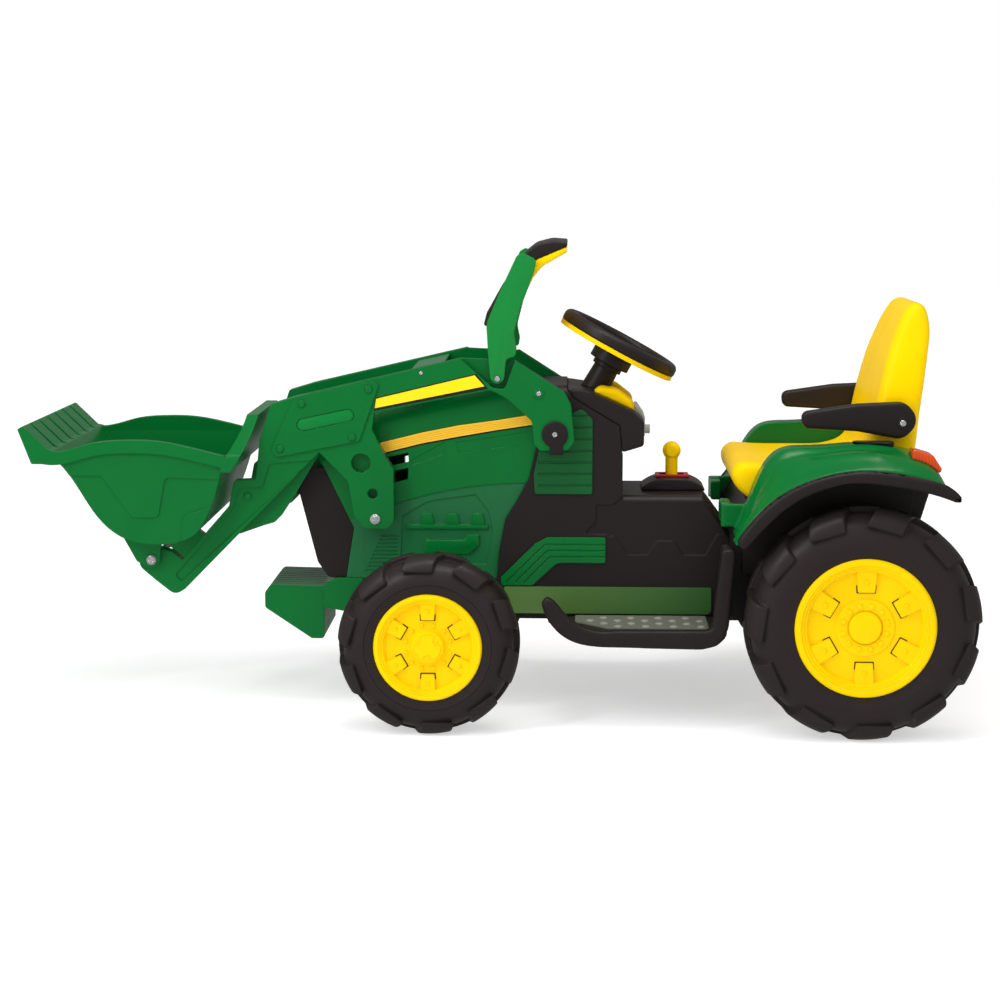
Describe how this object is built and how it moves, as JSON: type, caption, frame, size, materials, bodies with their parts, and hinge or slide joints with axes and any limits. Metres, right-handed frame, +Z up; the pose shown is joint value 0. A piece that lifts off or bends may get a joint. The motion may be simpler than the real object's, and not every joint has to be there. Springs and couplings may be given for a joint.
{
  "type": "ride-on tractor toy",
  "caption": "Battery ride-on tractor toy with lugged wheels, moulded seat and hinged armrests, and a front loader whose bucket tips by a handle ahead of the steering wheel.",
  "frame": {"origin": "on the ground, under the middle of the overall box", "axes": "+X to the rear of the tractor, +Y to the driver's right, +Z up"},
  "size_m": [1.642, 0.612, 0.8307],
  "materials": {
    "green_plastic": "glossy moulded green",
    "black_plastic": "fine-grained black",
    "yellow_plastic": "glossy moulded yellow",
    "grey_plastic": "matt grey",
    "red_plastic": "glossy red",
    "lens_plastic": "clear red-orange lens",
    "steel": "zinc-plated steel",
    "tyre_plastic": "blow-moulded black"
  },
  "bodies": {
    "chassis": {"hood": "green_plastic", "front_weights": "green_plastic", "vent_panels": "green_plastic", "swoosh_trims": "green_plastic", "body_sills": "green_plastic", "fender_left": "green_plastic", "fender_right": "green_plastic", "chassis_tray": "black_plastic", "front_grille": "black_plastic", "lamp_pods": "black_plastic", "mid_body": "black_plastic", "dashboard": "black_plastic", "steering_column": "black_plastic", "gear_console": "black_plastic", "footrest_left": "black_plastic", "footrest_right": "black_plastic", "rear_body": "black_plastic", "fender_flares": "black_plastic", "fender_pads": "black_plastic", "battery": "black_plastic", "gearmotors": "black_plastic", "front_axle_beam": "black_plastic", "seat": "yellow_plastic", "dash_pods": "yellow_plastic", "tread_plates": "grey_plastic", "radio_panel": "grey_plastic", "gear_plate": "red_plastic", "tail_lights": "lens_plastic", "rear_axle": "steel", "armrest_bolts": "steel", "loader_pivot_rod": "steel"},
    "loader": {"loader_arm_left": "green_plastic", "loader_arm_right": "green_plastic", "loader_cross_plate": "green_plastic", "loader_cross_tube": "steel", "loader_pivot_caps": "black_plastic", "bucket_rod": "steel"},
    "bucket": {"bucket": "green_plastic"},
    "handle": {"handle_uprights": "green_plastic", "handle_grip": "black_plastic", "handle_grip_under": "yellow_plastic"},
    "steering": {"steering_wheel": "black_plastic", "steering_ring": "yellow_plastic", "steering_shaft": "steel"},
    "knuckle_left": {"knuckle_left": "black_plastic"},
    "knuckle_right": {"knuckle_right": "black_plastic"},
    "tie_rod": {"tie_rod": "steel"},
    "front_wheel_left": {"front_tyre_left": "tyre_plastic", "front_rim_left": "yellow_plastic"},
    "front_wheel_right": {"front_tyre_right": "tyre_plastic", "front_rim_right": "yellow_plastic"},
    "rear_wheel_left": {"rear_tyre_left": "tyre_plastic", "rear_rim_left": "yellow_plastic"},
    "rear_wheel_right": {"rear_tyre_right": "tyre_plastic", "rear_rim_right": "yellow_plastic"},
    "gear_lever": {"gear_lever": "yellow_plastic"},
    "accelerator_pedal": {"accelerator_pedal": "black_plastic"},
    "armrest_left": {"armrest_left": "black_plastic"},
    "armrest_right": {"armrest_right": "black_plastic"},
    "radio_knob": {"radio_knob": "grey_plastic"}
  },
  "joints": [
    {"name": "loader_lift", "type": "hinge", "parent": "chassis", "child": "loader", "pos_m": [0.103, 0, 0.499], "axis": [0, 1, 0], "range_deg": [0, 22]},
    {"name": "handle_swing", "type": "hinge", "parent": "loader", "child": "handle", "pos_m": [0.003, 0, 0.595], "axis": [0, -1, 0], "range_deg": [0, 35]},
    {"name": "bucket_dump", "type": "hinge", "parent": "loader", "child": "bucket", "pos_m": [-0.605, 0, 0.275], "axis": [0, -1, 0], "range_deg": [0, 52.5]},
    {"name": "steering_turn", "type": "hinge", "parent": "chassis", "child": "steering", "pos_m": [0.215, 0, 0.644], "axis": [0.4726, 0, 0.8813], "range_deg": [-30, 30]},
    {"name": "tie_rod_slide", "type": "slide", "parent": "chassis", "child": "tie_rod", "axis": [0, 1, 0], "range_m": [-0.0145, 0.0145]},
    {"name": "gear_lever_tilt", "type": "hinge", "parent": "chassis", "child": "gear_lever", "pos_m": [0.312, 0, 0.39], "axis": [0, 1, 0], "range_deg": [-12, 12]},
    {"name": "pedal_press", "type": "hinge", "parent": "chassis", "child": "accelerator_pedal", "pos_m": [0.236, 0.159, 0.184], "axis": [0, -1, 0], "range_deg": [0, 9], "stiffness_Nm_per_rad": 0.8, "springref_deg": -14.32},
    {"name": "radio_knob_turn", "type": "hinge", "parent": "chassis", "child": "radio_knob", "pos_m": [0.262, -0.026, 0.497], "axis": [1, 0, 0], "range_deg": [-140, 140]},
    {"name": "knuckle_left_turn", "type": "hinge", "parent": "chassis", "child": "knuckle_left", "pos_m": [-0.109, -0.165, 0.155], "axis": [0, 0, 1], "range_deg": [-16.6, 16.6]},
    {"name": "front_wheel_left_spin", "type": "hinge", "parent": "knuckle_left", "child": "front_wheel_left", "pos_m": [-0.109, -0.24, 0.155], "axis": [0, 1, 0], "continuous": true},
    {"name": "rear_wheel_left_spin", "type": "hinge", "parent": "chassis", "child": "rear_wheel_left", "pos_m": [0.623, -0.25, 0.198], "axis": [0, 1, 0], "continuous": true},
    {"name": "armrest_left_lift", "type": "hinge", "parent": "chassis", "child": "armrest_left", "pos_m": [0.694, -0.165, 0.527], "axis": [0, 1, 0], "range_deg": [0, 95]},
    {"name": "knuckle_right_turn", "type": "hinge", "parent": "chassis", "child": "knuckle_right", "pos_m": [-0.109, 0.165, 0.155], "axis": [0, 0, 1], "range_deg": [-16.6, 16.6]},
    {"name": "front_wheel_right_spin", "type": "hinge", "parent": "knuckle_right", "child": "front_wheel_right", "pos_m": [-0.109, 0.24, 0.155], "axis": [0, 1, 0], "continuous": true},
    {"name": "rear_wheel_right_spin", "type": "hinge", "parent": "chassis", "child": "rear_wheel_right", "pos_m": [0.623, 0.25, 0.198], "axis": [0, 1, 0], "continuous": true},
    {"name": "armrest_right_lift", "type": "hinge", "parent": "chassis", "child": "armrest_right", "pos_m": [0.694, 0.165, 0.527], "axis": [0, 1, 0], "range_deg": [0, 95]}
  ],
  "couplings": [
    {"joint": "bucket_dump", "follows": "handle_swing", "ratio": 1.5},
    {"joint": "tie_rod_slide", "follows": "steering_turn", "m_per_rad": 0.0275},
    {"joint": "knuckle_left_turn", "follows": "steering_turn", "ratio": 0.55},
    {"joint": "knuckle_right_turn", "follows": "steering_turn", "ratio": 0.55}
  ]
}
